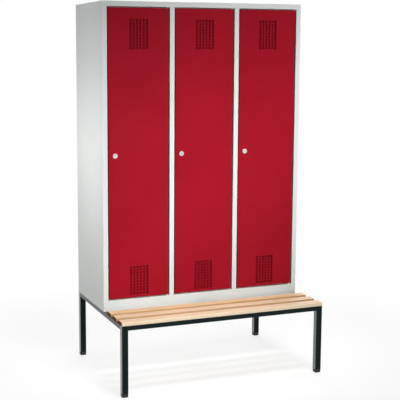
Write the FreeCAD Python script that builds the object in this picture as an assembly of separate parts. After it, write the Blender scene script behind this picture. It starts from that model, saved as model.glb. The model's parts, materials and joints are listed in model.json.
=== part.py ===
import FreeCAD
import Part
import math
import os

# Three-door steel clothes locker on a tube frame, with a slatted bench in front of the doors.
# Millimetres, X to the right, Y to the back, Z up. The origin is on the floor, in the middle of the footprint.

Vector = FreeCAD.Vector
RIGHT = Vector(1, 0, 0)
BACK = Vector(0, 1, 0)
UP = Vector(0, 0, 1)

# Cabinet
compartments = ("left", "middle", "right")
cabinet_width = 1200.0
cabinet_depth = 500.0
cabinet_height = 1700.0
sheet = 0.8                 # steel sheet of the cabinet and the doors
bend_radius = 1.0           # inside of every fold
stile_width = 28.0          # upright beside and between the doors
top_rail = 28.0             # face above the doors
bottom_rail = 60.0          # face below the doors
rebate = 23.0               # door stops behind the cabinet front
stop_width = 12.0           # folded edge that the doors close against
back_flange = 15.0
base_flange = 25.0          # folded edge that rests on the frame

# Hat shelf, clothes rail and coat hooks
hat_space = 300.0           # from the shelf to the roof
shelf_setback = 15.0        # behind the door stops
shelf_edge = 20.0
shelf_lip = 15.0
rail_drop = 55.0            # from the shelf to the middle of the clothes rail
rail_height = 30.0
rail_width = 15.0
rail_wall = 1.2
socket_length = 10.0
socket_wall = 2.0
socket_plate = 1.5
socket_rim = 5.0
socket_play = 0.25
hook_spacing = 110.0
hook_width = 12.0
hook_wall = 3.0
hook_play = 0.4
hook_stem = 16.0
hook_throat = 12.0          # inside radius of the hook
hook_thickness = 7.0
hook_tip = 8.0

# Doors
door_gap = 6.0
door_recess = 3.0
door_depth = 18.0
door_lip = 12.0             # edge folded in at the back
door_edge = 2.0             # outside radius round the face
vent_columns = 6
vent_rows = 10
vent_hole_width = 13.6
vent_hole_height = 11.8
vent_pitch = 19.1           # from column to column
vent_row_pitch = 16.5
vent_top_margin = 60.0      # from the door's top to the upper field of holes
vent_bottom_margin = 18.0   # from the door's bottom to the lower field
channel_width = 36.0        # stiffener inside the door
channel_flange = 14.0
channel_depth = 14.0
channel_clearance = 30.0    # from the vent fields
baffle_depth = 12.0         # plate behind each vent field
baffle_overlap = 10.0
buffer_diameter = 8.0
buffer_play = 0.3
buffer_margin = 120.0       # from the ends of the door

# Hinges
pivot_inset = 7.0           # hinge line from the door's edge
pivot_setback = 7.0         # hinge line behind the door's face
pin_diameter = 6.0
pin_inside = 8.0            # length of the pin within the door
pin_plate = 2.0
pin_end_play = 1.0          # pin's end short of the bush's end
bush_diameter = 10.0
bush_length = 8.0           # through and past the ledge
bush_collar = 14.0
top_collar = 2.0
hang_play = 0.3             # door above the collar that carries it
running_play = 0.05         # radial, of pins and lock cores

# Locks
lock_inset = 44.0           # lock from the left edge of the opening
rose_diameter = 28.0
rose_thickness = 6.0
rose_chamfer = 1.5
barrel_diameter = 19.0
nut_across = 24.0
nut_thickness = 4.0
core_diameter = 14.0
key_slot_width = 1.6
key_slot_length = 8.0
key_slot_depth = 3.0
cam_clearance = 1.2         # cam behind the door stop
cam_play = 0.3              # cam behind the barrel
cam_length = 43.0           # from the lock's axis to the tip
cam_width = 16.0
cam_thickness = 3.0
spigot_diameter = 8.0
cam_screw_diameter = 12.0
cam_screw_height = 2.5

# Frame and bench
frame_height = 390.0
bench_depth = 315.0         # bench in front of the cabinet
leg_size = 35.0
frame_rail_height = 25.0
tube_wall = 1.5
tube_corner = 3.0
slat_count = 3
slat_width = 62.0
slat_gap = 32.0
slat_thickness = 21.0
slat_radius = 4.0
foot_height = 20.0
foot_corner = 6.0           # upright edges of the caps
foot_radius = 5.0           # round edge of the sole
foot_plug = 20.0
foot_play = 0.1
screw_diameter = 5.0
screw_depth = 14.0          # into the slat
screw_head_diameter = 10.0
screw_head_height = 3.0
bolt_diameter = 6.0
bolt_across = 10.0
bolt_head_height = 4.0
bolt_nut_height = 5.0
bolt_end = 2.0              # thread past the nut
bolt_inset = 200.0          # from the cabinet's sides
hole_play = 0.05            # radial, of screws and bolts

# Main planes
x_side = cabinet_width / 2
y_back = (cabinet_depth + bench_depth) / 2
y_face = y_back - cabinet_depth
y_bench = y_face - bench_depth
y_stop = y_face + rebate
y_door = y_face + door_recess
y_rear = y_back - 2 * sheet             # inner face of the back panel
z_base = frame_height
z_top = z_base + cabinet_height
z_ledge = z_base + bottom_rail
z_floor = z_ledge + stop_width
z_head = z_top - top_rail
z_shelf = z_top - hat_space
z_rail = z_shelf - rail_drop
y_rail = (y_stop + y_rear) / 2
z_frame_rail = frame_height - frame_rail_height

# Openings and doors
opening_width = (cabinet_width - (len(compartments) + 1) * stile_width) / len(compartments)
door_width = opening_width - 2 * door_gap
z_door = z_ledge + door_gap
z_door_top = z_head - door_gap
z_lock = (z_door + z_door_top) / 2
vent_field_width = (vent_columns - 1) * vent_pitch + vent_hole_width
vent_field_height = (vent_rows - 1) * vent_row_pitch + vent_hole_height
z_vents = (z_door + vent_bottom_margin, z_door_top - vent_top_margin - vent_field_height)


def opening_left(index):
    return -x_side + stile_width + index * (opening_width + stile_width)


def stile_centre(index):
    return opening_left(index) - stile_width / 2


def walls(index):
    """Inner faces of the two walls of a compartment."""
    left = -x_side + sheet if index == 0 else stile_centre(index) + sheet / 2
    last = len(compartments) - 1
    right = x_side - sheet if index == last else stile_centre(index + 1) - sheet / 2
    return left, right


def hinge_line(index):
    return opening_left(index) + opening_width - door_gap - pivot_inset, y_door + pivot_setback


def lock_axis(index):
    return opening_left(index) + lock_inset


# Building blocks
def box(x, y, z):
    """Block between the two values given for each axis."""
    return Part.makeBox(x[1] - x[0], y[1] - y[0], z[1] - z[0], Vector(x[0], y[0], z[0]))


def rod(diameter, start, way, length):
    return Part.makeCylinder(diameter / 2, length, start, way)


def edges_along(shape, way):
    return [edge for edge in shape.Edges if abs(edge.tangentAt(edge.FirstParameter).dot(way)) > 0.999]


def stand_along_x(solid, x):
    """Turn a solid drawn in the XY plane so that its X, Y and Z become Y, Z and X, starting at x."""
    turned = solid.copy()
    turned.rotate(Vector(0, 0, 0), Vector(1, 1, 1), 120)
    turned.translate(Vector(x, 0, 0))
    return turned


def rounded_path(points, radii):
    """Edges through the points, with each inner corner rounded to its own radius."""
    edges = []
    last = points[0]
    for before, corner, after, radius in zip(points, points[1:], points[2:], radii):
        way_in = (corner - before).normalize()
        way_out = (after - corner).normalize()
        half_turn = way_in.getAngle(way_out) / 2
        start = corner - way_in * radius * math.tan(half_turn)
        end = corner + way_out * radius * math.tan(half_turn)
        inward = (way_out - way_in).normalize()
        middle = corner + inward * radius * (1 / math.cos(half_turn) - 1)
        edges.append(Part.LineSegment(last, start).toShape())
        edges.append(Part.Arc(start, middle, end).toShape())
        last = end
    edges.append(Part.LineSegment(last, points[-1]).toShape())
    return edges


def folded_sheet(outline, length):
    """Sheet folded along an outline of its skin, with its thickness on the left of the way."""
    skin = [Vector(u, v, 0) for u, v in outline]
    ways = [(b - a).normalize() for a, b in zip(skin, skin[1:])]
    lefts = [Vector(-way.y, way.x, 0) for way in ways]
    inside = [skin[0] + lefts[0] * sheet]
    skin_radii = []
    inside_radii = []
    for corner, left_in, left_out, way_out in zip(skin[1:], lefts, lefts[1:], ways[1:]):
        inside.append(corner + (left_in + left_out) * (sheet / (1 + left_in.dot(left_out))))
        turns_left = left_in.dot(way_out) > 0
        skin_radii.append(bend_radius + sheet if turns_left else bend_radius)
        inside_radii.append(bend_radius if turns_left else bend_radius + sheet)
    inside.append(skin[-1] + lefts[-1] * sheet)
    edges = rounded_path(skin, skin_radii)
    edges.append(Part.LineSegment(skin[-1], inside[-1]).toShape())
    edges += rounded_path(inside[::-1], inside_radii[::-1])
    edges.append(Part.LineSegment(inside[0], skin[0]).toShape())
    return Part.Face(Part.Wire(edges)).extrude(UP * length)


def upright_sheet(outline, z):
    """Folded sheet with its outline in plan, standing between two heights."""
    solid = folded_sheet(outline, z[1] - z[0])
    solid.translate(UP * z[0])
    return solid


def level_sheet(outline, x):
    """Folded sheet with its outline in Y and Z, running between two values of X."""
    return stand_along_x(folded_sheet(outline, x[1] - x[0]), x[0])


def oval(width, height, length):
    """Upright bar with half-round ends, drawn in the XY plane and rising along Z."""
    straight = (height - width) / 2
    side = width / 2
    edges = [
        Part.LineSegment(Vector(side, -straight, 0), Vector(side, straight, 0)),
        Part.Arc(Vector(side, straight, 0), Vector(0, height / 2, 0), Vector(-side, straight, 0)),
        Part.LineSegment(Vector(-side, straight, 0), Vector(-side, -straight, 0)),
        Part.Arc(Vector(-side, -straight, 0), Vector(0, -height / 2, 0), Vector(side, -straight, 0)),
    ]
    return Part.Face(Part.Wire([edge.toShape() for edge in edges])).extrude(UP * length)


def hexagon(across, start, way, length):
    """Six-sided bar, flat to flat, from its start along one axis."""
    radius = across / math.sqrt(3)
    turns = [math.radians(60 * step) for step in range(7)]
    corners = [Vector(radius * math.cos(turn), radius * math.sin(turn), 0) for turn in turns]
    bar = Part.Face(Part.makePolygon(corners)).extrude(UP * length)
    bar.Placement = FreeCAD.Placement(start, FreeCAD.Rotation(UP, way))
    return bar


def square_tube(x, y, z, way):
    """Tube that fills the ranges given, open at both ends along its way."""
    outer = box(x, y, z)
    outer = outer.makeFillet(tube_corner, edges_along(outer, way))
    inset = [0 if abs(part) > 0.5 else tube_wall for part in way]
    bore = box(*[(low + cut, high - cut) for (low, high), cut in zip((x, y, z), inset)])
    bore = bore.makeFillet(tube_corner - tube_wall, edges_along(bore, way))
    return outer.cut(bore)


# Cabinet
def side_panel():
    """Left side: back flange, wall, front stile and door stop folded from one sheet."""
    x_stile = -x_side + stile_width
    x_stop = x_stile + stop_width
    outline = [(-x_side + back_flange, y_back), (-x_side, y_back), (-x_side, y_face)]
    outline += [(x_stile, y_face), (x_stile, y_stop), (x_stop, y_stop)]
    panel = upright_sheet(outline, (z_base, z_top))
    x_inside = (-x_side + sheet, x_stop)
    y_inside = (y_face + sheet, y_back)
    roof_room = box(x_inside, y_inside, (z_top - sheet, z_top))
    flange_room = box(x_inside, (y_back - sheet, y_back), (z_top - back_flange, z_top))
    head_room = box((x_stile, x_stop), (y_face, y_back), (z_head - stop_width, z_top))
    foot_room = box((x_stile, x_stop), (y_face, y_back), (z_base, z_floor))
    return panel.cut([roof_room, flange_room, head_room, foot_room])


def middle_stile(index):
    """Hat-shaped upright between two doors, with a door stop on each side."""
    centre = stile_centre(index)
    left = centre - stile_width / 2
    right = centre + stile_width / 2
    outline = [(left - stop_width, y_stop), (left, y_stop), (left, y_face)]
    outline += [(right, y_face), (right, y_stop), (right + stop_width, y_stop)]
    stile = upright_sheet(outline, (z_ledge, z_head))
    x = (left - stop_width, right + stop_width)
    y = (y_stop - bend_radius, y_back)
    floor_stop = box(x, y, (z_ledge, z_floor))
    roof_stop = box(x, y, (z_head - stop_width, z_head))
    return stile.cut([floor_stop, roof_stop])


def partition(index):
    """Wall between two compartments, flanged to the middle stile and to the back panel."""
    centre = stile_centre(index)
    y_front = y_stop + sheet
    x_wall = centre + sheet / 2
    outline = [(centre - stile_width / 2 - stop_width, y_front), (x_wall, y_front)]
    outline += [(x_wall, y_rear), (x_wall - back_flange, y_rear)]
    return upright_sheet(outline, (z_floor, z_top - sheet))


def back_panel():
    """Plain sheet inside the back flanges."""
    x_edge = x_side - sheet - bend_radius
    return box((-x_edge, x_edge), (y_rear, y_rear + sheet), (z_floor, z_top - sheet - bend_radius))


def ledge_holes(z):
    """Bush holes through a ledge, one for each door."""
    holes = []
    for index in range(len(compartments)):
        x, y = hinge_line(index)
        start = Vector(x, y, z - 2 * sheet)
        holes.append(rod(bush_diameter + 2 * running_play, start, UP, 4 * sheet))
    return holes


def end_rooms(z):
    """Room for the side stiles at both ends of the roof and the floor."""
    rooms = []
    for x in ((-x_side, -x_side + stile_width), (x_side - stile_width, x_side)):
        rooms.append(box(x, (y_face, y_stop + sheet), z))
    return rooms


def roof_panel():
    """Roof with its back flange, top rail, ledge over the doors and door stop."""
    outline = [(y_back, z_top - back_flange), (y_back, z_top), (y_face, z_top)]
    outline += [(y_face, z_head), (y_stop, z_head), (y_stop, z_head - stop_width)]
    roof = level_sheet(outline, (-x_side + sheet, x_side - sheet))
    corners = end_rooms((z_head - stop_width, z_top - sheet))
    for x in ((-x_side, -x_side + stile_width), (x_side - stile_width, x_side)):
        corners.append(box(x, (y_face, y_face + sheet), (z_top - sheet, z_top)))
    return roof.cut(corners + ledge_holes(z_head))


def floor_panel():
    """Floor pan: base flanges on the frame, bottom rail, ledge under the doors, door stop and floor."""
    y_rear_wall = y_back - sheet
    outline = [(y_rear_wall - base_flange, z_base), (y_rear_wall, z_base), (y_rear_wall, z_floor)]
    outline += [(y_stop, z_floor), (y_stop, z_ledge), (y_face, z_ledge), (y_face, z_base)]
    outline += [(y_face + base_flange, z_base)]
    floor = level_sheet(outline, (-x_side + sheet, x_side - sheet))
    cuts = end_rooms((z_base, z_floor)) + ledge_holes(z_ledge)
    corner = sheet + bend_radius
    for x in ((-x_side, -x_side + corner), (x_side - corner, x_side)):
        cuts.append(box(x, (y_rear_wall - corner, y_back), (z_base, z_floor)))
    for x, y in bolt_places():
        cuts.append(rod(bolt_diameter + 2 * hole_play, Vector(x, y, z_base - sheet), UP, 3 * sheet))
    return floor.cut(cuts)


def hat_shelf(index):
    """Shelf between the compartment's walls, with folded front and back edges."""
    y_front = y_stop + shelf_setback
    y_end = y_rear - sheet - bend_radius
    outline = [(y_end, z_shelf - shelf_lip), (y_end, z_shelf), (y_front, z_shelf)]
    outline += [(y_front, z_shelf - shelf_edge), (y_front + shelf_lip, z_shelf - shelf_edge)]
    return level_sheet(outline, walls(index))


def rail_section(extra, x):
    """Oval of the clothes rail, larger by extra all round, between two values of X."""
    solid = oval(rail_width + 2 * extra, rail_height + 2 * extra, x[1] - x[0])
    solid.translate(Vector(y_rail, z_rail, 0))
    return stand_along_x(solid, x[0])


def clothes_rail(index):
    left, right = walls(index)
    x = (left + socket_plate + socket_play, right - socket_plate - socket_play)
    return rail_section(0, x).cut(rail_section(-rail_wall, x))


def rail_sockets():
    """Cups on the walls that hold the ends of the clothes rails."""
    sockets = []
    for index in range(len(compartments)):
        left, right = walls(index)
        for wall, way in ((left, 1), (right, -1)):
            ends = sorted((wall, wall + way * (socket_plate + socket_length)))
            plate = sorted((wall, wall + way * socket_plate))
            bore = sorted((wall + way * socket_plate, wall + way * 2 * socket_length))
            cup = rail_section(socket_play + socket_wall, ends)
            cup = cup.fuse(rail_section(socket_play + socket_rim, plate))
            sockets.append(cup.cut(rail_section(socket_play, bore)).removeSplitter())
    return Part.makeCompound(sockets)


def coat_hook(index, place):
    """Plastic hook that slides on the clothes rail, open towards the doors."""
    left, right = walls(index)
    middle = (left + right) / 2 + place * hook_spacing
    x = (middle - hook_width / 2, middle + hook_width / 2)
    collar = rail_section(hook_play + hook_wall, x)
    z_neck = z_rail - rail_height / 2 - hook_play
    z_bend = z_neck - hook_wall - hook_stem
    y_bend = y_rail - hook_throat - hook_thickness / 2
    outside = 2 * (hook_throat + hook_thickness)
    start = Vector(x[0], y_bend, z_bend)
    ring = rod(outside, start, RIGHT, hook_width).cut(rod(2 * hook_throat, start, RIGHT, hook_width))
    ring = ring.cut(box(x, (y_bend - outside, y_bend + outside), (z_bend, z_bend + outside)))
    half = hook_thickness / 2
    stem = box(x, (y_rail - half, y_rail + half), (z_bend, z_neck))
    y_tip = y_bend - hook_throat - half
    tip = box(x, (y_tip - half, y_tip + half), (z_bend, z_bend + hook_tip))
    tip_end = rod(hook_thickness, Vector(x[0], y_tip, z_bend + hook_tip), RIGHT, hook_width)
    hook = collar.fuse([ring, stem, tip, tip_end]).cut(rail_section(hook_play, x))
    return hook.removeSplitter()


def hinge_bushes():
    """Collared bushes for the door pivots, below and above each door."""
    bushes = []
    for index in range(len(compartments)):
        x, y = hinge_line(index)
        low = rod(bush_diameter, Vector(x, y, z_ledge), -UP, bush_length)
        low = low.fuse(rod(bush_collar, Vector(x, y, z_ledge), UP, door_gap - hang_play))
        high = rod(bush_diameter, Vector(x, y, z_head), UP, bush_length)
        high = high.fuse(rod(bush_collar, Vector(x, y, z_head), -UP, top_collar))
        bore_length = bush_length + door_gap
        low_bore = rod(pin_diameter + 2 * running_play, Vector(x, y, z_ledge - bush_length), UP, bore_length)
        high_bore = rod(pin_diameter + 2 * running_play, Vector(x, y, z_head + bush_length), -UP, bore_length)
        bushes.append(low.cut(low_bore).removeSplitter())
        bushes.append(high.cut(high_bore).removeSplitter())
    return Part.makeCompound(bushes)


def door_buffers():
    """Soft pads on the door stops at the lock side."""
    thickness = rebate - door_recess - door_depth - buffer_play
    pads = []
    for index in range(len(compartments)):
        x = opening_left(index) + door_gap + buffer_diameter / 2
        for z in (z_door + buffer_margin, z_door_top - buffer_margin):
            pads.append(rod(buffer_diameter, Vector(x, y_stop, z), -BACK, thickness))
    return Part.makeCompound(pads)


# Doors
def door_shell(inset):
    """Block of the door, smaller by inset, with the edges round its face rounded."""
    x = (inset, door_width - inset)
    y = (y_door + inset, y_door + door_depth - inset)
    z = (z_door + inset, z_door_top - inset)
    block = box(x, y, z)
    face = min(block.Faces, key=lambda side: side.CenterOfMass.y)
    return block.makeFillet(door_edge - inset, face.Edges)


def vent_holes():
    """Two fields of holes, near the bottom and the top of the door."""
    y = (y_door - sheet, y_door + 2 * sheet)
    first_x = (door_width - vent_field_width) / 2
    holes = []
    for z_field in z_vents:
        for row in range(vent_rows):
            z = z_field + row * vent_row_pitch
            for column in range(vent_columns):
                x = first_x + column * vent_pitch
                holes.append(box((x, x + vent_hole_width), y, (z, z + vent_hole_height)))
    return holes


def door_panel(index):
    """Door folded into a pan, with lips at the back, air holes, and holes for its lock and pivots."""
    x_door = opening_left(index) + door_gap
    pan = door_shell(0).cut(door_shell(sheet))
    x = (door_lip, door_width - door_lip)
    y = (y_door + door_depth - 2 * sheet, y_door + door_depth + sheet)
    pan = pan.cut(box(x, y, (z_door + door_lip, z_door_top - door_lip)))
    pan = pan.cut(Part.makeCompound(vent_holes()))
    pan.translate(RIGHT * x_door)
    lock_hole = Vector(lock_axis(index), y_door - sheet, z_lock)
    pan = pan.cut(rod(barrel_diameter + 2 * hole_play, lock_hole, BACK, 3 * sheet))
    pivot = Vector(*hinge_line(index), z_door - sheet)
    return pan.cut(rod(pin_diameter + 2 * hole_play, pivot, UP, z_door_top - z_door + 2 * sheet))


def hat_section(width, depth, centre, z):
    """Hat-shaped sheet with its flanges on the inside of the door's face."""
    y_skin = y_door + sheet
    half = width / 2
    outline = [(-half - channel_flange, y_skin), (-half, y_skin), (-half, y_skin + depth)]
    outline += [(half, y_skin + depth), (half, y_skin), (half + channel_flange, y_skin)]
    section = upright_sheet(outline, z)
    section.translate(RIGHT * centre)
    return section


def door_channel(index):
    """Stiffener between the two fields of air holes, and a baffle behind each field."""
    centre = opening_left(index) + opening_width / 2
    z = (z_vents[0] + vent_field_height + channel_clearance, z_vents[1] - channel_clearance)
    sections = [hat_section(channel_width, channel_depth, centre, z)]
    for z_field in z_vents:
        z = (z_field - baffle_overlap, z_field + vent_field_height + baffle_overlap)
        sections.append(hat_section(vent_field_width + 2 * baffle_overlap, baffle_depth, centre, z))
    return Part.makeCompound(sections)


def door_pivots(index):
    """Pins with welding plates, inside the top and the bottom of the door."""
    x, y = hinge_line(index)
    half = min(pivot_inset, pivot_setback) - door_edge      # plate clear of the door's rounded edges
    pivots = []
    for z_edge, way, ledge in ((z_door, -1, z_ledge), (z_door_top, 1, z_head)):
        z_inside = z_edge - way * sheet
        z_tip = ledge + way * (bush_length - pin_end_play)
        z_start = z_inside - way * pin_inside
        pin = rod(pin_diameter, Vector(x, y, z_start), UP * way, abs(z_tip - z_start))
        z_plate = sorted((z_inside, z_inside - way * pin_plate))
        plate = box((x - half, x + half), (y - half, y + half), z_plate)
        pivots.append(pin.fuse(plate).removeSplitter())
    return Part.makeCompound(pivots)


# Locks
y_cam = y_stop + sheet + cam_clearance
y_barrel = y_cam - cam_play


def lock_housing(index):
    """Rose and barrel in front of the door's face, with the nut that clamps them from behind."""
    axis = Vector(lock_axis(index), 0, z_lock)
    front = axis + BACK * (y_door - rose_thickness)
    rose = rod(rose_diameter, front, BACK, rose_thickness)
    rim = min(rose.Faces, key=lambda side: side.CenterOfMass.y)
    rose = rose.makeChamfer(rose_chamfer, rim.Edges)
    barrel = rod(barrel_diameter, axis + BACK * y_door, BACK, y_barrel - y_door)
    nut = hexagon(nut_across, axis + BACK * (y_door + sheet), BACK, nut_thickness)
    bore = rod(core_diameter + 2 * running_play, front, BACK, y_barrel - y_door + rose_thickness)
    return rose.fuse([barrel, nut]).cut(bore).removeSplitter()


def lock_core(index):
    """Turning cylinder with a key slot in front and a spigot and screw for the cam behind."""
    axis = Vector(lock_axis(index), 0, z_lock)
    front = axis + BACK * (y_door - rose_thickness)
    core = rod(core_diameter, front, BACK, y_cam - y_door + rose_thickness)
    spigot = rod(spigot_diameter, axis + BACK * y_cam, BACK, cam_thickness)
    screw = rod(cam_screw_diameter, axis + BACK * (y_cam + cam_thickness), BACK, cam_screw_height)
    across = (axis.x - key_slot_width / 2, axis.x + key_slot_width / 2)
    slot = box(across, (front.y, front.y + key_slot_depth),
               (z_lock - key_slot_length / 2, z_lock + key_slot_length / 2))
    return core.fuse([spigot, screw]).cut(slot).removeSplitter()


def lock_cam(index):
    """Locking tongue, hanging down while the lock is open."""
    axis = Vector(lock_axis(index), y_cam, z_lock)
    tip = axis - UP * (cam_length - cam_width / 2)
    half = cam_width / 2
    tongue = box((axis.x - half, axis.x + half), (y_cam, y_cam + cam_thickness), (tip.z, z_lock))
    ends = [rod(cam_width, end, BACK, cam_thickness) for end in (axis, tip)]
    hole = rod(spigot_diameter + 2 * hole_play, axis, BACK, cam_thickness)
    return tongue.fuse(ends).removeSplitter().cut(hole)


# Frame and bench
x_leg = x_side - leg_size               # inner faces of the legs
y_front_leg = y_bench + leg_size
y_rear_leg = y_back - leg_size
z_rails = (z_frame_rail, frame_height)


def bolt_places():
    """Points in plan where bolts hold the cabinet's base flanges to the cross rails."""
    rows = (y_face + base_flange / 2, y_back - sheet - base_flange / 2)
    return [(x, y) for y in rows for x in (-x_side + bolt_inset, x_side - bolt_inset)]


def slat_edges():
    """Front and back edges of each slat, from the front of the bench."""
    fronts = [y_bench + step * (slat_width + slat_gap) for step in range(slat_count)]
    return [(front, front + slat_width) for front in fronts]


def screw_places():
    """Points in plan where screws hold the slats, in the middle of their stretch behind the front legs."""
    rail_centre = x_side - leg_size / 2
    rows = [(max(front, y_front_leg) + back) / 2 for front, back in slat_edges()]
    return [(x, y) for y in rows for x in (-rail_centre, 0, rail_centre)]


def drilled(tube, places, diameter):
    """Rail with upright holes where places lie on it."""
    bounds = tube.BoundBox
    holes = []
    for x, y in places:
        if bounds.XMin < x < bounds.XMax and bounds.YMin < y < bounds.YMax:
            start = Vector(x, y, bounds.ZMin)
            holes.append(rod(diameter + 2 * hole_play, start, UP, bounds.ZLength))
    return tube.cut(holes) if holes else tube


def leg(side, row):
    x = sorted((side * x_leg, side * x_side))
    y = (y_bench, y_front_leg) if row == "front" else (y_rear_leg, y_back)
    return square_tube(x, y, (foot_height, frame_height), UP)


def side_rail(side):
    x = sorted((side * x_leg, side * x_side))
    tube = square_tube(x, (y_front_leg, y_rear_leg), z_rails, BACK)
    return drilled(tube, screw_places(), screw_diameter)


def front_rail():
    return square_tube((-x_leg, x_leg), (y_bench, y_front_leg), z_rails, RIGHT)


def cross_rails():
    """Rails under the front and the back of the cabinet."""
    rails = []
    for y in ((y_face, y_face + leg_size), (y_rear_leg, y_back)):
        tube = square_tube((-x_leg, x_leg), y, z_rails, RIGHT)
        rails.append(drilled(tube, bolt_places(), bolt_diameter))
    return Part.makeCompound(rails)


def bench_bearer():
    half = leg_size / 2
    tube = square_tube((-half, half), (y_front_leg, y_face), z_rails, BACK)
    return drilled(tube, screw_places(), screw_diameter)


def bench_slat(index):
    y = slat_edges()[index]
    slat = box((-x_side, x_side), y, (frame_height, frame_height + slat_thickness))
    slat = slat.makeFillet(slat_radius, edges_along(slat, RIGHT))
    holes = []
    for x, y_screw in screw_places():
        if y[0] < y_screw < y[1]:
            start = Vector(x, y_screw, frame_height)
            holes.append(rod(screw_diameter + 2 * hole_play, start, UP, screw_depth))
    return slat.cut(holes)


def slat_screws():
    """Screws driven up through the rails into the slats."""
    screws = []
    for x, y in screw_places():
        under = Vector(x, y, z_frame_rail)
        screw = rod(screw_diameter, under, UP, frame_rail_height + screw_depth)
        head = rod(screw_head_diameter, under, -UP, screw_head_height)
        screws.append(screw.fuse(head).removeSplitter())
    return Part.makeCompound(screws)


def carcass_bolts():
    """Bolts from the base flanges down through the cross rails, each with its nut."""
    pieces = []
    for x, y in bolt_places():
        top = Vector(x, y, z_base + sheet)
        under = Vector(x, y, z_frame_rail)
        length = top.z - under.z + bolt_nut_height + bolt_end
        shank = rod(bolt_diameter, top, -UP, length)
        pieces.append(shank.fuse(hexagon(bolt_across, top, UP, bolt_head_height)).removeSplitter())
        nut = hexagon(bolt_across, under, -UP, bolt_nut_height)
        pieces.append(nut.cut(rod(bolt_diameter + 2 * hole_play, under, -UP, bolt_nut_height)))
    return Part.makeCompound(pieces)


def foot_caps():
    """Plastic caps with rounded soles, plugged into the legs."""
    caps = []
    inset = tube_wall + foot_play
    for x in ((-x_side, -x_leg), (x_leg, x_side)):
        for y in ((y_bench, y_front_leg), (y_rear_leg, y_back)):
            head = box(x, y, (0, foot_height))
            head = head.makeFillet(foot_corner, edges_along(head, UP))
            sole = min(head.Faces, key=lambda side: side.CenterOfMass.z)
            head = head.makeFillet(foot_radius, sole.Edges)
            plug = box((x[0] + inset, x[1] - inset), (y[0] + inset, y[1] - inset),
                       (foot_height, foot_height + foot_plug))
            plug = plug.makeFillet(tube_corner - tube_wall, edges_along(plug, UP))
            caps.append(head.fuse(plug))
    return Part.makeCompound(caps)


def export(name, shape):
    shape.exportStep("parts/" + name + ".step")


os.makedirs("parts", exist_ok=True)

left_side = side_panel()
export("left_side_panel", left_side)
export("right_side_panel", left_side.mirror(Vector(0, 0, 0), RIGHT))
for number, side in enumerate(("left", "right"), start=1):
    export(side + "_mid_stile", middle_stile(number))
    export(side + "_partition", partition(number))
export("back_panel", back_panel())
export("roof_panel", roof_panel())
export("floor_panel", floor_panel())
export("rail_sockets", rail_sockets())
export("hinge_bushes", hinge_bushes())
export("door_buffers", door_buffers())

for number, name in enumerate(compartments):
    export(name + "_hat_shelf", hat_shelf(number))
    export(name + "_clothes_rail", clothes_rail(number))
    export(name + "_door_panel", door_panel(number))
    export(name + "_door_channel", door_channel(number))
    export(name + "_door_pivots", door_pivots(number))
    export(name + "_lock_housing", lock_housing(number))
    export(name + "_lock_core", lock_core(number))
    export(name + "_lock_cam", lock_cam(number))
    for place, label in ((-1, "a"), (0, "b"), (1, "c")):
        export(name + "_coat_hook_" + label, coat_hook(number, place))

for side, label in ((-1, "left"), (1, "right")):
    export(label + "_side_rail", side_rail(side))
    for row in ("front", "rear"):
        export(row + "_" + label + "_leg", leg(side, row))
export("front_rail", front_rail())
export("cross_rails", cross_rails())
export("bench_bearer", bench_bearer())
for number, name in enumerate(("front", "middle", "rear")):
    export(name + "_slat", bench_slat(number))
export("slat_screws", slat_screws())
export("carcass_bolts", carcass_bolts())
export("foot_caps", foot_caps())
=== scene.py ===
import json
import math
import bpy
from mathutils import Matrix, Vector


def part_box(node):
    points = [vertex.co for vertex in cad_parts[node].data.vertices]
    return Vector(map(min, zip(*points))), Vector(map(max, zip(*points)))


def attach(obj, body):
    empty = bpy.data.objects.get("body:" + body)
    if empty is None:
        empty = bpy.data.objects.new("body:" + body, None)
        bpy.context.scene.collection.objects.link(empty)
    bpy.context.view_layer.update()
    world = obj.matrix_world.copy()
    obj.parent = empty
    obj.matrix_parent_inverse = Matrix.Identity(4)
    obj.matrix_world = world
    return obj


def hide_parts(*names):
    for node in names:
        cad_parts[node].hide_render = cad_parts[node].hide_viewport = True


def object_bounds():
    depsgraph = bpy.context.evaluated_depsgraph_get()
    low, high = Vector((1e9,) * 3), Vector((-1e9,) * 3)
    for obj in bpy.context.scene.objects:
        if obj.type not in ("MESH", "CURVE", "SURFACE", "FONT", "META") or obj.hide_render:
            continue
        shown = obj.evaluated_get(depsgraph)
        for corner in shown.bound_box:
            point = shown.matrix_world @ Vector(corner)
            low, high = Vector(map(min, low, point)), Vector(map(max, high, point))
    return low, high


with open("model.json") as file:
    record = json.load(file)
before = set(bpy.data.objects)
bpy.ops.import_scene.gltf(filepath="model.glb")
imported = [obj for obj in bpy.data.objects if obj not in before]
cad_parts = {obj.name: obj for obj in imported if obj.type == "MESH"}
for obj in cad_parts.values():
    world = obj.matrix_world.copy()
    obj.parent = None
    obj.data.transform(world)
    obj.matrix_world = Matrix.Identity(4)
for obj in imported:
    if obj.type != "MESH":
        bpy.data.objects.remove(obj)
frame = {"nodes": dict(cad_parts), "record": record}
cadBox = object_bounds()
nodes = frame["nodes"]
nodeSlot = {piece["node"]: piece["material_slot"] for piece in frame["record"]["subparts"]}
sides = ("left", "middle", "right")
slatNames = ("front_slat", "middle_slat", "rear_slat")
white = (1, 1, 1, 1)
print("frame loaded,", len(nodes), "nodes")


# node helpers
def feed(tree, sockets, values):  # an output is linked, anything else is set on the socket
    for name, value in values.items():
        if isinstance(value, bpy.types.NodeSocket):
            tree.links.new(value, sockets[name])
        else:
            sockets[name].default_value = value


def newNode(tree, kind, values=None, **options):
    node = tree.nodes.new(kind)
    for name, value in options.items():
        setattr(node, name, value)
    feed(tree, node.inputs, values or {})
    return node


def maths(tree, operation, *terms, clamp=False):
    values = dict(enumerate(terms))
    return newNode(tree, "ShaderNodeMath", values, operation=operation, use_clamp=clamp).outputs[0]


def times(tree, first, second):
    return maths(tree, "MULTIPLY", first, second)


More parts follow.
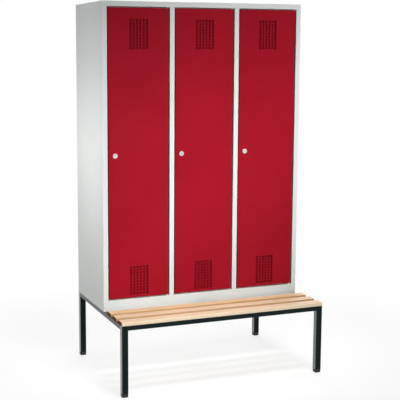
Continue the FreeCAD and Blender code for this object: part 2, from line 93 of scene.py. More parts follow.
def within(tree, value, least, most):  # 1 between the two, 0 outside
    return maths(tree, "COMPARE", value, (least + most) / 2, (most - least) / 2)


def spread(tree, value, low, high, toLow=0.0, toHigh=1.0):  # soft ramp from one range to another
    values = {"Value": value, "From Min": low, "From Max": high, "To Min": toLow, "To Max": toHigh}
    return newNode(tree, "ShaderNodeMapRange", values, interpolation_type="SMOOTHSTEP").outputs[0]


def blend(tree, amount, first, second, mode="MIX"):
    values = {0: amount, 6: first, 7: second}  # 6 and 7 are the colour sockets
    return newNode(tree, "ShaderNodeMix", values, data_type="RGBA", blend_type=mode).outputs[2]


def noise(tree, place, scale=1.0, detail=2.0, rough=0.5, stretch=None):
    if stretch:
        place = newNode(tree, "ShaderNodeMapping", {"Vector": place, "Scale": stretch}).outputs[0]
    values = {"Vector": place, "Scale": scale, "Detail": detail, "Roughness": rough}
    return newNode(tree, "ShaderNodeTexNoise", values).outputs[0]


def clouds(tree, place, scale, detail=3.0):  # noise drawn out to the whole range
    return spread(tree, noise(tree, place, scale, detail), 0.3, 0.7)


def axesOf(tree, vector):
    return newNode(tree, "ShaderNodeSeparateXYZ", {0: vector}).outputs


def surfaceNormal(tree):
    return newNode(tree, "ShaderNodeNewGeometry").outputs["Normal"]


def vectorValue(tree, operation, *vectors):
    values = dict(enumerate(vectors))
    return newNode(tree, "ShaderNodeVectorMath", values, operation=operation).outputs["Value"]


def bump(tree, height, depth, strength=1.0):
    values = {"Height": height, "Distance": depth, "Strength": strength}
    return newNode(tree, "ShaderNodeBump", values).outputs[0]


def newGroup(name, inputs, outputs):
    group = bpy.data.node_groups.new(name, "ShaderNodeTree")
    for way, titles in (("INPUT", inputs), ("OUTPUT", outputs)):
        for title in titles:
            kind = "NodeSocketVector" if title == "Place" else "NodeSocketFloat"
            group.interface.new_socket(title, in_out=way, socket_type=kind)
    start = group.nodes.new("NodeGroupInput")
    end = group.nodes.new("NodeGroupOutput")
    return group, start.outputs, end.inputs


def useGroup(tree, group, values):
    return newNode(tree, "ShaderNodeGroup", values, node_tree=group).outputs


# orange peel of a sprayed coat
skinValues = {"fineRatio": 3.1, "fineShare": 0.35, "shadeScale": 2.3, "glossScale": 19.0}


def makePowderSkin():
    group, given, result = newGroup("powderSkin", ("Place", "Grain"), ("Height", "Shade", "Gloss"))
    place = given["Place"]
    peel = noise(group, place, given["Grain"], detail=1.0)
    fine = noise(group, place, times(group, given["Grain"], skinValues["fineRatio"]), detail=1.0)
    feed(group, result, {"Height": maths(group, "MULTIPLY_ADD", fine, skinValues["fineShare"], peel),
                         "Shade": clouds(group, place, skinValues["shadeScale"]),
                         "Gloss": clouds(group, place, skinValues["glossScale"])})
    return group


# edges that are rubbed or thinly coated
edgeValues = {"samples": 6, "bend": (0.99, 0.82), "rubScale": 70.0, "rub": (0.35, 0.65, 0.35, 1.0)}


def makeThinEdge():
    group, given, result = newGroup("thinEdge", ("Place", "Radius"), ("Mask",))
    rounded = newNode(group, "ShaderNodeBevel", {"Radius": given["Radius"]}, samples=edgeValues["samples"])
    bend = vectorValue(group, "DOT_PRODUCT", rounded.outputs[0], surfaceNormal(group))
    rub = noise(group, given["Place"], edgeValues["rubScale"], detail=4.0)
    edge = times(group, spread(group, bend, *edgeValues["bend"]), spread(group, rub, *edgeValues["rub"]))
    feed(group, result, {"Mask": edge})
    return group


# thin film of dust on what faces up
dustValues = {"upward": (0.55, 0.95), "patchScale": 6.0, "patches": (0.35, 0.75, 0.2, 1.0),
              "speckScale": 900.0, "specks": (0.62, 0.72, 0.0, 0.5)}


def makeRestingDust():
    group, given, result = newGroup("restingDust", ("Place",), ("Mask",))
    upward = spread(group, axesOf(group, surfaceNormal(group))["Z"], *dustValues["upward"])
    film = noise(group, given["Place"], dustValues["patchScale"], detail=5.0, rough=0.65)
    grit = noise(group, given["Place"], dustValues["speckScale"], detail=1.0)
    cover = maths(group, "ADD", spread(group, film, *dustValues["patches"]),
                  spread(group, grit, *dustValues["specks"]), clamp=True)
    feed(group, result, {"Mask": times(group, upward, cover)})
    return group


# pitted skin of moulded plastic
grainValues = {"shadeScale": 40.0}


def makeMouldGrain():
    group, given, result = newGroup("mouldGrain", ("Place", "Grain"), ("Height", "Shade"))
    pits = newNode(group, "ShaderNodeTexVoronoi", {"Vector": given["Place"], "Scale": given["Grain"]})
    feed(group, result, {"Height": pits.outputs["Distance"],
                         "Shade": clouds(group, given["Place"], grainValues["shadeScale"], detail=4.0)})
    return group


powderSkin = makePowderSkin()
thinEdge = makeThinEdge()
restingDust = makeRestingDust()
mouldGrain = makeMouldGrain()
print("shared effects made")


def startMaterial(name):
    material = bpy.data.materials.new(name)
    material.use_nodes = True
    tree = material.node_tree
    shader = tree.nodes["Principled BSDF"]
    place = newNode(tree, "ShaderNodeTexCoord").outputs["Object"]
    return material, tree, shader, place


def wornEdge(tree, place, radius, share):
    edge = useGroup(tree, thinEdge, {"Place": place, "Radius": radius})["Mask"]
    return times(tree, edge, share)


# powder coats, with linear colours; a coat's fold tone multiplies painted shade onto the folds behind the
# front node's face, in the gaps round the doors
carcassCoat = {"name": "carcassPaint", "low": (0.77, 0.8, 0.775, 1), "high": (0.805, 0.83, 0.81, 1),
               "edge": (0.87, 0.88, 0.87, 1), "wear": 0.5, "dust": 0.1, "grain": 420.0, "depth": 0.00006,
               "rough": 0.42, "specular": 0.4, "foldShade": (0.42, 0.4, 0.4, 1), "front": "left_mid_stile"}
doorCoat = {"name": "doorPaint", "low": (0.336, 0.006, 0.017, 1), "high": (0.371, 0.0076, 0.0202, 1),
            "edge": (0.42, 0.02, 0.04, 1), "wear": 0.45, "dust": 0.05, "grain": 400.0, "depth": 0.00007,
            "rough": 0.4, "specular": 0.08, "foldShade": (0.45, 0.4, 0.4, 1), "front": "left_door_panel"}
ventShadeCoat = {"name": "doorInsideShade", "low": (0.265, 0.0045, 0.0125, 1), "high": (0.3, 0.0058, 0.015, 1),
              "edge": (0.3, 0.012, 0.025, 1), "wear": 0.4, "dust": 0.1, "grain": 380.0, "depth": 0.00007,
              "rough": 0.5, "specular": 0.08}  # darker red is painted shade: the vent holes in front of these inner plates show them dark
frameCoat = {"name": "framePaint", "low": (0.005, 0.0115, 0.0115, 1), "high": (0.007, 0.015, 0.0148, 1),
             "edge": (0.035, 0.04, 0.04, 1), "wear": 0.4, "dust": 0.08, "grain": 520.0, "depth": 0.00005,
             "rough": 0.3, "specular": 0.1, "gloss": 0.3}
legCoat = {**frameCoat, "name": "legPaint", "gloss": 1.0}  # legs are sprayed upright and run glossier
coatValues = {"edgeRadius": 0.0016, "glossShare": 0.07, "dustTone": (0.5, 0.48, 0.44, 1), "dustRough": 0.9,
              "slant": (0.36, 0.5), "topRough": 0.3, "topIor": 2.2}
# depths behind a face over which the painted shade in the gaps starts and fades
gapShade = {"start": 0.0008, "full": 0.002, "fade": 0.018, "end": 0.032, "inset": 0.002}  # depths behind a face


def paintedGapShade(tree, place, front):  # painted shade on the folds round the doors, which lie in shadow in the gaps
    low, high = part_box("left_mid_stile")
    along = axesOf(tree, place)
    depth = maths(tree, "SUBTRACT", along["Y"], front)
    mask = times(tree, spread(tree, depth, gapShade["start"], gapShade["full"]),
                 spread(tree, depth, gapShade["fade"], gapShade["end"], 1.0, 0.0))
    for axis, least, most in (("X", cadBox[0].x, cadBox[1].x), ("Z", low.z, high.z)):
        mask = times(tree, mask, within(tree, along[axis], least + gapShade["inset"], most - gapShade["inset"]))
    return mask


def powderPaint(coat):
    material, tree, shader, place = startMaterial(coat["name"])
    skin = useGroup(tree, powderSkin, {"Place": place, "Grain": coat["grain"]})
    dust = useGroup(tree, restingDust, {"Place": place})["Mask"]
    film = times(tree, dust, coat["dust"])
    worn = wornEdge(tree, place, coatValues["edgeRadius"], coat["wear"])
    colour = blend(tree, skin["Shade"], coat["low"], coat["high"])
    colour = blend(tree, worn, colour, coat["edge"])
    colour = blend(tree, film, colour, coatValues["dustTone"])
    # painted shade: darkens the folds in the gaps round the doors
    if "foldShade" in coat:
        foldShadeMask = paintedGapShade(tree, place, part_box(coat["front"])[0].y)
        colour = blend(tree, foldShadeMask, colour, coat["foldShade"], "MULTIPLY")
    rough = maths(tree, "MULTIPLY_ADD", skin["Gloss"], coatValues["glossShare"], coat["rough"])
    rough = maths(tree, "MULTIPLY_ADD", film, coatValues["dustRough"], rough, clamp=True)
    feed(tree, shader.inputs, {"Base Color": colour, "Roughness": rough,
                               "Specular IOR Level": coat["specular"],
                               "Normal": bump(tree, skin["Height"], coat["depth"])})
    if "gloss" in coat:  # smooth top layer that shows at a slant
        slant = newNode(tree, "ShaderNodeLayerWeight", {"Blend": 0.5}).outputs["Facing"]
        gloss = spread(tree, slant, *coatValues["slant"], 0.0, coat["gloss"])
        feed(tree, shader.inputs, {"Coat Weight": gloss, "Coat Roughness": coatValues["topRough"],
                                   "Coat IOR": coatValues["topIor"]})
    return material


# beech: grain runs along X, dark sealed end grain on the faces that look along X
beech = {
    "low": (0.8, 0.58, 0.375, 1), "high": (0.93, 0.74, 0.52, 1), "rough": 0.38, "fibreRough": 0.16,
    "specular": 0.4, "depth": 0.00012, "relief": 0.8, "edgeRadius": 0.003, "edgeShare": 0.25,
    "boards": {"detail": 3.0, "rough": 0.55, "stretch": (0.9, 34.0, 34.0)}, "boardRange": (0.3, 0.72),
    "fibres": {"detail": 3.0, "rough": 0.6, "stretch": (7.0, 520.0, 520.0)}, "fibreRise": 0.6,
    "streak": (0.71, 0.46, 0.27, 1), "streakRange": (0.56, 0.78, 0.0, 0.45),
    "rays": {"detail": 1.0, "stretch": (170.0, 1500.0, 1500.0)}, "rayRange": (0.64, 0.7),
    "fleck": (0.5, 0.28, 0.15, 1), "fleckShare": 0.5, "fleckSink": 0.5,
    # the tone multiplied on the faces between the slats is painted shade; the pale front tone is a painted
    # highlight on the front slat's front face
    "sideways": (0.3, 0.9), "gapShade": (0.74, 0.6, 0.46, 1), "front": (0.98, 0.85, 0.64, 1), "frontHighlightShare": 0.5,
    "rear": (1, 0.955, 0.815, 1),
    "endways": (0.55, 0.85), "endLow": (0.075, 0.02, 0.002, 1), "endHigh": (0.15, 0.046, 0.006, 1),
    "endRough": 0.6, "heart": (0, 0.06, -0.31), "ring": 330.0, "ringShare": 0.6,
    "wanderScale": 24.0, "wander": 5.0, "poreScale": 1800.0, "poreRange": (0.5, 0.7, 0.0, 0.5),
}


def longGrain(tree, place):
    boards = noise(tree, place, **beech["boards"])  # wide bands of growth
    fibres = noise(tree, place, **beech["fibres"])
    rays = noise(tree, place, **beech["rays"])
    fleck = spread(tree, rays, *beech["rayRange"])  # short and dark
    colour = blend(tree, spread(tree, boards, *beech["boardRange"]), beech["low"], beech["high"])
    colour = blend(tree, spread(tree, fibres, *beech["streakRange"]), colour, beech["streak"])
    colour = blend(tree, times(tree, fleck, beech["fleckShare"]), colour, beech["fleck"])
    return colour, fibres, fleck


def endGrain(tree, place):
    values = {"Vector": place, "Location": beech["heart"], "Scale": (0, 1, 1)}  # rings round a line along X
    fromHeart = newNode(tree, "ShaderNodeMapping", values).outputs[0]
    wander = times(tree, noise(tree, place, beech["wanderScale"]), beech["wander"])
    rings = maths(tree, "MULTIPLY_ADD", vectorValue(tree, "LENGTH", fromHeart), beech["ring"], wander)
    rings = maths(tree, "FRACT", rings)
    pores = spread(tree, noise(tree, place, beech["poreScale"], detail=1.0), *beech["poreRange"])
    across = maths(tree, "MULTIPLY_ADD", rings, beech["ringShare"], pores, clamp=True)
    return blend(tree, across, beech["endHigh"], beech["endLow"])


def benchWood():
    material, tree, shader, place = startMaterial("benchWood")
    front, middle, rear = [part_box(name) for name in slatNames]
    depth = axesOf(tree, place)["Y"]
    facing = axesOf(tree, surfaceNormal(tree))
    ends = spread(tree, maths(tree, "ABSOLUTE", facing["X"]), *beech["endways"])
    edges = spread(tree, maths(tree, "ABSOLUTE", facing["Y"]), *beech["sideways"])
    behind = maths(tree, "GREATER_THAN", depth, (front[0].y + front[1].y) / 2)
    between = times(tree, edges, behind)  # painted shade on the faces between the slats, which stand in shadow
    frontHighlight = maths(tree, "SUBTRACT", edges, between)  # painted highlight: the front slat's front face lightened as if lit from the front
    rearBoard = maths(tree, "GREATER_THAN", depth, (middle[1].y + rear[0].y) / 2)  # from a warmer plank
    colour, fibres, fleck = longGrain(tree, place)
    worn = wornEdge(tree, place, beech["edgeRadius"], beech["edgeShare"])
    colour = blend(tree, worn, colour, beech["high"])
    # painted shade on the faces between the slats
    colour = blend(tree, between, colour, beech["gapShade"], "MULTIPLY")
    # painted highlight on the front slat's front face
    colour = blend(tree, times(tree, frontHighlight, beech["frontHighlightShare"]), colour, beech["front"])
    colour = blend(tree, rearBoard, colour, beech["rear"], "MULTIPLY")
    colour = blend(tree, ends, colour, endGrain(tree, place))
    rise = times(tree, fibres, beech["fibreRise"])
    height = maths(tree, "SUBTRACT", rise, times(tree, fleck, beech["fleckSink"]))
    rough = maths(tree, "MULTIPLY_ADD", fibres, beech["fibreRough"], beech["rough"])
    rough = maths(tree, "MULTIPLY_ADD", ends, beech["endRough"], rough, clamp=True)  # sawn ends stay dull
    feed(tree, shader.inputs, {"Base Color": colour, "Roughness": rough,
                               "Specular IOR Level": beech["specular"],
                               "Normal": bump(tree, height, beech["depth"], beech["relief"])})
    return material


# bare and plated metals
lockFinish = {"name": "lockChrome", "low": (0.66, 0.66, 0.65, 1), "high": (0.8, 0.8, 0.79, 1),
              "rough": 0.14, "lines": 1500.0, "depth": 0.00003}
zincFinish = {"name": "zincSteel", "low": (0.5, 0.52, 0.54, 1), "high": (0.66, 0.67, 0.66, 1),
              "rough": 0.28, "lines": 260.0, "depth": 0.00004}
railFinish = {"name": "railSteel", "low": (0.58, 0.58, 0.58, 1), "high": (0.7, 0.7, 0.69, 1),
              "rough": 0.18, "lines": 900.0, "stretch": (0.02, 1.0, 1.0), "depth": 0.00003}
coreFinish = {**lockFinish, "name": "lockCore", "slot": (0.012, 0.012, 0.012, 1),
              "slotStart": 0.0002, "slotEnd": 0.0042}  # painted shade: the inside of the key slot drawn near black
metalValues = {"cloudScale": 60.0, "edgeRadius": 0.0008, "edgeShare": 0.5, "lineRough": 0.16, "relief": 0.6}


def metal(finish):
    material, tree, shader, place = startMaterial(finish["name"])
    lines = noise(tree, place, finish["lines"], rough=0.6, stretch=finish.get("stretch"))
    worn = wornEdge(tree, place, metalValues["edgeRadius"], metalValues["edgeShare"])
    colour = blend(tree, clouds(tree, place, metalValues["cloudScale"]), finish["low"], finish["high"])
    colour = blend(tree, worn, colour, finish["high"])
    # painted shade in the key slot
    if "slot" in finish:
        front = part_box("left_lock_core")[0].y
        depth = axesOf(tree, place)["Y"]
        slotShade = within(tree, depth, front + finish["slotStart"], front + finish["slotEnd"])
        colour = blend(tree, slotShade, colour, finish["slot"])
    rough = maths(tree, "MULTIPLY_ADD", lines, metalValues["lineRough"], finish["rough"])
    feed(tree, shader.inputs, {"Base Color": colour, "Roughness": rough, "Metallic": 1.0,
                               "Normal": bump(tree, lines, finish["depth"], metalValues["relief"])})
    return material


# moulded plastics and rubber
hookMould = {"name": "hookPlastic", "low": (0.02, 0.02, 0.021, 1), "high": (0.035, 0.035, 0.036, 1),
             "rough": 0.37, "grain": 1400.0, "depth": 0.00003}
bushMould = {"name": "bushPlastic", "low": (0.6, 0.59, 0.56, 1), "high": (0.68, 0.67, 0.64, 1),
             "rough": 0.35, "grain": 1400.0, "depth": 0.00002}
bufferMould = {"name": "bufferRubber", "low": (0.016, 0.016, 0.017, 1), "high": (0.03, 0.03, 0.03, 1),
               "rough": 0.65, "grain": 1100.0, "depth": 0.00005}
footMould = {"name": "footPlastic", "low": (0.008, 0.011, 0.011, 1), "high": (0.014, 0.017, 0.017, 1),
             "rough": 0.35, "grain": 1200.0, "depth": 0.00004}
mouldValues = {"edge": (0.5, 0.5, 0.5, 1), "edgeRadius": 0.001, "edgeShare": 0.12, "shadeRough": 0.1,
               "specular": 0.4}


def moulded(mould):
    material, tree, shader, place = startMaterial(mould["name"])
    grain = useGroup(tree, mouldGrain, {"Place": place, "Grain": mould["grain"]})
    worn = wornEdge(tree, place, mouldValues["edgeRadius"], mouldValues["edgeShare"])
    colour = blend(tree, grain["Shade"], mould["low"], mould["high"])
    colour = blend(tree, worn, colour, mouldValues["edge"])
    rough = maths(tree, "MULTIPLY_ADD", grain["Shade"], mouldValues["shadeRough"], mould["rough"])
    feed(tree, shader.inputs, {"Base Color": colour, "Roughness": rough,
                               "Specular IOR Level": mouldValues["specular"],
                               "Normal": bump(tree, grain["Height"], mould["depth"])})
    return material


# each CAD node takes the finish of its slot in the record, or its own by the end of its name
slotFinish = {
    "carcass_paint": powderPaint(carcassCoat), "door_paint": powderPaint(doorCoat),
    "frame_paint": powderPaint(frameCoat), "bench_wood": benchWood(),
    "lock_chrome": metal(lockFinish), "zinc_steel": metal(zincFinish), "rail_steel": metal(railFinish),
    "hook_plastic": moulded(hookMould), "bush_plastic": moulded(bushMould),
    "buffer_rubber": moulded(bufferMould), "foot_plastic": moulded(footMould),
}
# the door's inner plates take a darker red that paints shade into the vent holes
ownFinish = {
    "door_channel": powderPaint(ventShadeCoat), "_leg": powderPaint(legCoat), "lock_core": metal(coreFinish),
}
print("finishes made:", ", ".join(slotFinish))

for name, node in nodes.items():
    finish = slotFinish[nodeSlot[name]]
    for ending, own in ownFinish.items():
        if name.endswith(ending):
            finish = own
    node.data.materials.clear()
    node.data.materials.append(finish)
print("finishes on the CAD nodes")


# pieces modelled here
touch = 1e-6  # heights nearer than this are the same
level = 0.999  # least upright part of a level face's normal
quarterTurn = math.radians(90)
smoothAngle = math.radians(35)


def pick(piece, kind, test):  # edit mode with only what passes the test selected
    bpy.ops.object.mode_set(mode="EDIT")
    bpy.ops.mesh.select_mode(type=kind)
    bpy.ops.mesh.select_all(action="DESELECT")
    bpy.ops.object.mode_set(mode="OBJECT")
    parts = {"VERT": piece.data.vertices, "EDGE": piece.data.edges, "FACE": piece.data.polygons}[kind]
    for part in parts:
        part.select = test(part)
    bpy.ops.object.mode_set(mode="EDIT")


def heights(piece, edge):
    return [piece.data.vertices[corner].co.z for corner in edge.vertices]


def addRod(name, radius, depth, count, foot):  # upright rod, foot is the height of its lower end
    bpy.ops.object.select_all(action="DESELECT")
    bpy.ops.mesh.primitive_cylinder_add(vertices=count, radius=radius, depth=depth)
    rod = bpy.context.object
    rod.name = name
    rod.location.z = foot + depth / 2
    bpy.ops.object.transform_apply(location=True, rotation=True, scale=True)
    return rod


def endPiece(piece, body, slot):
    bpy.ops.object.mode_set(mode="OBJECT")
    piece.data.materials.append(slotFinish[slot])
    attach(piece, body)


def stamp(pattern, places):  # one copy with its own mesh at each place, then all joined
    bpy.ops.object.mode_set(mode="OBJECT")
    copies = [pattern]
    for place in places[1:]:
        copy = pattern.copy()
        copy.data = pattern.data.copy()
        bpy.context.scene.collection.objects.link(copy)
        copies.append(copy)
    bpy.ops.object.select_all(action="DESELECT")
    for copy, place in zip(copies, places):
        copy.matrix_world = place
        copy.select_set(True)
    bpy.context.view_layer.objects.active = pattern
    bpy.ops.object.transform_apply(location=True, rotation=True, scale=True)
    bpy.ops.object.join()
    return bpy.context.object


# weld beads where the frame's tubes meet
weld = {"radius": 0.0024, "length": 0.024, "facets": 12, "ripples": 12, "swell": 1.2, "taper": 0.6,
        "proud": 0.0008}


def makeWeldBead():
    bead = addRod("frameWelds", weld["radius"], weld["length"], weld["facets"], -weld["length"] / 2)
    pick(bead, "EDGE", lambda edge: max(heights(bead, edge)) - min(heights(bead, edge)) > touch)
    bpy.ops.mesh.subdivide(number_cuts=weld["ripples"])
    last = weld["ripples"] + 1
    step = weld["length"] / last
    for value, rings in ((weld["swell"], range(1, last, 2)), (weld["taper"], (0, last))):
        pick(bead, "VERT", lambda corner: round(corner.co.z / step + last / 2) in rings)
        bpy.ops.transform.resize(value=(value, value, 1.0), center_override=(0, 0, 0))
    bpy.ops.object.mode_set(mode="OBJECT")
    bpy.ops.object.shade_smooth()
    return bead


def weldPlaces():
    railLow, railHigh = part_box("front_rail")
    legLow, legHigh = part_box("rear_right_leg")
    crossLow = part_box("cross_rails")[0]
    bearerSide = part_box("bench_bearer")[1].x
    out = weld["proud"]
    inside = legLow.x - out  # corner between a leg and the rail that ends on it
    under = railLow.z - out
    height = (railLow.z + railHigh.z) / 2
    crossBack = crossLow.y + railHigh.y - railLow.y + out
    alongX = Matrix.Rotation(quarterTurn, 4, "Y")
    alongY = Matrix.Rotation(quarterTurn, 4, "X")
    places = []
    for side in (-1, 1):
        for y in ((railLow.y + railHigh.y) / 2, (legLow.y + legHigh.y) / 2):  # front and rear rails to legs
            places.append(Matrix.Translation((side * inside, y, under)) @ alongY)
        for y in (railHigh.y + out, legLow.y - out):  # side rails to the legs
            places.append(Matrix.Translation((side * (legLow.x + legHigh.x) / 2, y, under)) @ alongX)
        for y in (crossLow.y - out, crossBack, legLow.y - out):  # cross rails to the side rails
            places.append(Matrix.Translation((side * inside, y, height)))
        for y in (railHigh.y + out, crossLow.y - out):  # bearer to the front rail and the cross rail
            places.append(Matrix.Translation((side * (bearerSide + out), y, height)))
    return places


endPiece(stamp(makeWeldBead(), weldPlaces()), "carcass", "frame_paint")
print("weld beads set")


# spot welds that hold the partitions to the back panel
spot = {"radius": 0.0042, "height": 0.0005, "facets": 16, "rim": 0.0012, "sink": 0.00045, "count": 11,
        "margin": 0.06}


def makeSpotWeld():
    dimple = addRod("spotWelds", spot["radius"], spot["height"], spot["facets"], 0.0)
    pick(dimple, "FACE", lambda face: face.normal.z > level)
    bpy.ops.mesh.inset(thickness=spot["rim"])
    bpy.ops.transform.translate(value=(0, 0, -spot["sink"]))
    bpy.ops.object.mode_set(mode="OBJECT")
    bpy.ops.object.shade_smooth()
    return dimple


def spotPlaces():
    backLow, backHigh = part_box("back_panel")
    first = backLow.z + spot["margin"]
    step = (backHigh.z - backLow.z - 2 * spot["margin"]) / (spot["count"] - 1)
    outward = Matrix.Rotation(-quarterTurn, 4, "X")
    places = []
    for name in ("left_partition", "right_partition"):
        low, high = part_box(name)
        x = (low.x + high.x) / 2
        for row in range(spot["count"]):
            places.append(Matrix.Translation((x, backHigh.y, first + row * step)) @ outward)
    return places


endPiece(stamp(makeSpotWeld(), spotPlaces()), "carcass", "carcass_paint")
print("spot welds set")


# pan-head screws under the slats; hollows draw in the driver's socket between its lobes
screw = {"head": 0.005, "height": 0.003, "dome": 0.0017, "domeSteps": 4, "shank": 0.0025, "recess": 0.0024,
         "slack": 0.0002, "sink": 0.0016, "lobes": 6, "lobeFacets": 4,
         "hollows": (((2,), 0.72), ((1, 3), 0.87))}
screwFacets = screw["lobes"] * screw["lobeFacets"]


def inHollow(place, turns, foot):
    turn = round(math.atan2(place.y, place.x) / math.tau * screwFacets) % screw["lobeFacets"]
    inRecess = math.hypot(place.x, place.y) < screw["recess"] + screw["slack"]
    return abs(place.z - foot) < touch and inRecess and turn in turns


def makeScrew(length):
    foot = -screw["height"]
    piece = addRod("slatScrews", screw["head"], screw["height"], screwFacets, foot)
    pick(piece, "EDGE", lambda edge: all(abs(height - foot) < touch for height in heights(piece, edge)))
    bpy.ops.mesh.bevel(offset=screw["dome"], segments=screw["domeSteps"], affect="EDGES")
    pick(piece, "FACE", lambda face: face.normal.z < -level)
    bpy.ops.mesh.inset(thickness=screw["head"] - screw["dome"] - screw["recess"])
    for turns, value in screw["hollows"]:
        pick(piece, "VERT", lambda corner: inHollow(corner.co, turns, foot))
        bpy.ops.transform.resize(value=(value, value, 1.0), center_override=(0, 0, foot))
    pick(piece, "FACE", lambda face: face.normal.z < -level and len(face.vertices) == screwFacets)
    bpy.ops.mesh.extrude_region_move(TRANSFORM_OT_translate={"value": (0, 0, screw["sink"])})
    pick(piece, "FACE", lambda face: face.normal.z > level and abs(face.center.z) < touch)
    bpy.ops.mesh.inset(thickness=screw["head"] - screw["shank"])
    bpy.ops.mesh.extrude_region_move(TRANSFORM_OT_translate={"value": (0, 0, length)})
    bpy.ops.object.mode_set(mode="OBJECT")
    bpy.ops.object.shade_smooth_by_angle(angle=smoothAngle)
    return piece


def screwPlaces(low, high):
    reach = screw["head"]
    across = (low.x + reach, (low.x + high.x) / 2, high.x - reach)
    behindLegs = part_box("front_left_leg")[1].y
    slats = [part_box(name) for name in slatNames]
    rows = [(max(front.y, behindLegs) + back.y) / 2 for front, back in slats]
    return [Matrix.Translation((x, y, low.z + screw["height"])) for y in rows for x in across]


screwLow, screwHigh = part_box("slat_screws")
shankLength = screwHigh.z - screwLow.z - screw["height"]
slatScrews = stamp(makeScrew(shankLength), screwPlaces(screwLow, screwHigh))
endPiece(slatScrews, "carcass", "zinc_steel")
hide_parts("slat_screws")
print("slat screws set")


# turned rings on the lock roses
ring = {"outer": 0.0112, "wall": 0.0031, "height": 0.0008, "round": 0.0003, "roundSteps": 3, "facets": 64}


def makeLockRing(side):
    low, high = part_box(side + "_lock_housing")
    middle = (low + high) / 2
    bpy.ops.object.select_all(action="DESELECT")
    bpy.ops.mesh.primitive_cylinder_add(vertices=ring["facets"], radius=ring["outer"], depth=ring["height"],
                                        end_fill_type="NOTHING", rotation=(quarterTurn, 0, 0),
                                        location=(middle.x, low.y - ring["height"] / 2, middle.z))
    piece = bpy.context.object
    piece.name = side + "LockRing"
    bpy.ops.object.transform_apply(location=True, rotation=True, scale=True)
    wall = piece.modifiers.new("wall", "SOLIDIFY")
    wall.thickness = ring["wall"]
    wall.offset = -1.0  # inwards
    soft = piece.modifiers.new("soft", "BEVEL")
    soft.width = ring["round"]
    soft.segments = ring["roundSteps"]
    for modifier in ("wall", "soft"):
        bpy.ops.object.modifier_apply(modifier=modifier)
    bpy.ops.object.shade_smooth_by_angle(angle=smoothAngle)
    endPiece(piece, side + "_door", "lock_chrome")


for side in sides:
    makeLockRing(side)
print("lock rings set")


# floor, backdrop and light
stageValues = {"floorSize": 40.0, "floorTone": (0.82, 0.82, 0.82, 1), "shownTone": (0.385, 0.385, 0.385, 1),
               "shownGlow": 0.7, "nearRadius": 0.9, "farRadius": 2.4, "worldLevel": 0.3}
softboxes = {
    "frontLeftBox": {"place": (0.3, -4.178, 1.8), "aim": (-0.9, -0.078, 0.63), "size": (1.2, 0.5),
                     "spread": 42.0, "watts": 5.4, "mirrored": False},
    "frontRightBox": {"place": (0.9, -4.178, 0.6), "aim": (0.53, -0.078, 1.64), "size": (1.2, 0.5),
                      "spread": 41.0, "watts": 5.5, "mirrored": False},
    "leftBox": {"place": (-1.55, 0.072, 1.27), "aim": (-0.6, 0.122, 1.27), "size": (0.8, 0.3),
                "spread": 120.0, "watts": 3.0, "mirrored": False},
    "benchBox": {"place": (0.0, -1.3, 3.3), "aim": (0.0, -0.27, 0.41), "size": (1.6, 0.5),
                 "spread": 44.0, "watts": 3.9, "mirrored": True},
    "backBox": {"place": (0.9, 3.0, 1.9), "aim": (0.0, 0.4, 1.1), "size": (2.2, 1.8),
                "spread": 180.0, "watts": 40.0, "mirrored": True},
    "rightBox": {"place": (3.4, 0.6, 1.7), "aim": (0.6, 0.15, 1.2), "size": (1.2, 1.8),
                 "spread": 60.0, "watts": 6.0, "mirrored": True},
    "topBox": {"place": (0.0, 0.5, 4.6), "aim": (0.0, 0.14, 2.09), "size": (1.6, 0.8),
               "spread": 40.0, "watts": 1.2, "mirrored": True},
}


def seenDirectly(tree):
    path = newNode(tree, "ShaderNodeLightPath").outputs
    seen = maths(tree, "ADD", path["Is Camera Ray"], path["Is Glossy Ray"], clamp=True)
    return maths(tree, "ADD", seen, path["Is Transmission Ray"], clamp=True)


def matt(tree, tone):
    return newNode(tree, "ShaderNodeBsdfDiffuse", {"Color": tone}).outputs[0]


def glow(tree, strength):
    return newNode(tree, "ShaderNodeEmission", {"Color": white, "Strength": strength}).outputs[0]


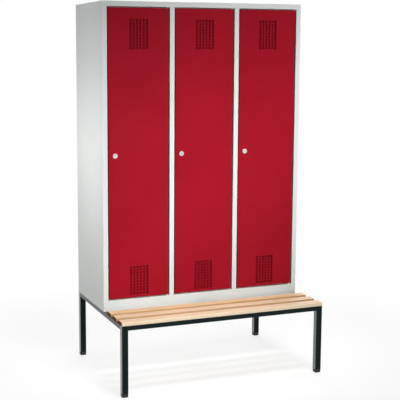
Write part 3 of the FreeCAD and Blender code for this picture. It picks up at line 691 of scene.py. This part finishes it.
def makeFloor():
    bpy.ops.object.select_all(action="DESELECT")
    bpy.ops.mesh.primitive_plane_add(size=stageValues["floorSize"])
    floor = bpy.context.object
    floor.name = "floor"
    material, tree, shader, place = startMaterial("paleFloor")
    tree.nodes.remove(shader)
    shaded = matt(tree, stageValues["shownTone"])  # keeps the soft shadow near the feet
    glowing = glow(tree, stageValues["shownGlow"])
    near = newNode(tree, "ShaderNodeAddShader", {0: glowing, 1: shaded}).outputs[0]
    away = vectorValue(tree, "LENGTH", place)
    far = spread(tree, away, stageValues["nearRadius"], stageValues["farRadius"])
    shown = newNode(tree, "ShaderNodeMixShader", {0: far, 1: near, 2: glow(tree, 1.0)}).outputs[0]
    lit = matt(tree, stageValues["floorTone"])
    both = newNode(tree, "ShaderNodeMixShader", {0: seenDirectly(tree), 1: lit, 2: shown}).outputs[0]
    feed(tree, tree.nodes["Material Output"].inputs, {"Surface": both})
    floor.data.materials.append(material)


def makeWorld():
    world = bpy.data.worlds.new("studio")
    bpy.context.scene.world = world
    world.use_nodes = True
    tree = world.node_tree
    strength = spread(tree, seenDirectly(tree), 0.0, 1.0, stageValues["worldLevel"], 1.0)
    feed(tree, tree.nodes["Background"].inputs, {"Color": white, "Strength": strength})


def makeSoftboxes():
    for name, box in softboxes.items():
        lamp = bpy.data.lights.new(name, "AREA")
        lamp.shape = "RECTANGLE"
        lamp.size, lamp.size_y = box["size"]
        lamp.energy = box["watts"]
        lamp.spread = math.radians(box["spread"])
        item = bpy.data.objects.new(name, lamp)
        bpy.context.scene.collection.objects.link(item)
        way = Vector(box["aim"]) - Vector(box["place"])
        item.location = box["place"]
        item.rotation_euler = way.to_track_quat("-Z", "Y").to_euler()
        item.visible_camera = False
        item.visible_glossy = box["mirrored"]


makeFloor()
makeWorld()
makeSoftboxes()
print("stage and light set")


# camera at the photograph's place
cameraValues = {"place": (-2.159, -5.018, 1.801), "turn": 20.53, "tilt": -7.67, "lens": 86.02,
                "sensor": 36.0, "shift": (0.12, -0.04)}


def makeCamera():
    lens = bpy.data.cameras.new("photoCamera")
    lens.sensor_width = cameraValues["sensor"]
    lens.lens = cameraValues["lens"]
    lens.shift_x, lens.shift_y = cameraValues["shift"]
    camera = bpy.data.objects.new("photoCamera", lens)
    bpy.context.scene.collection.objects.link(camera)
    camera.location = cameraValues["place"]
    tilt = quarterTurn + math.radians(cameraValues["tilt"])
    camera.rotation_euler = (tilt, 0.0, -math.radians(cameraValues["turn"]))
    bpy.context.scene.camera = camera


makeCamera()
bpy.context.scene.view_settings.view_transform = "Standard"
print("camera set")
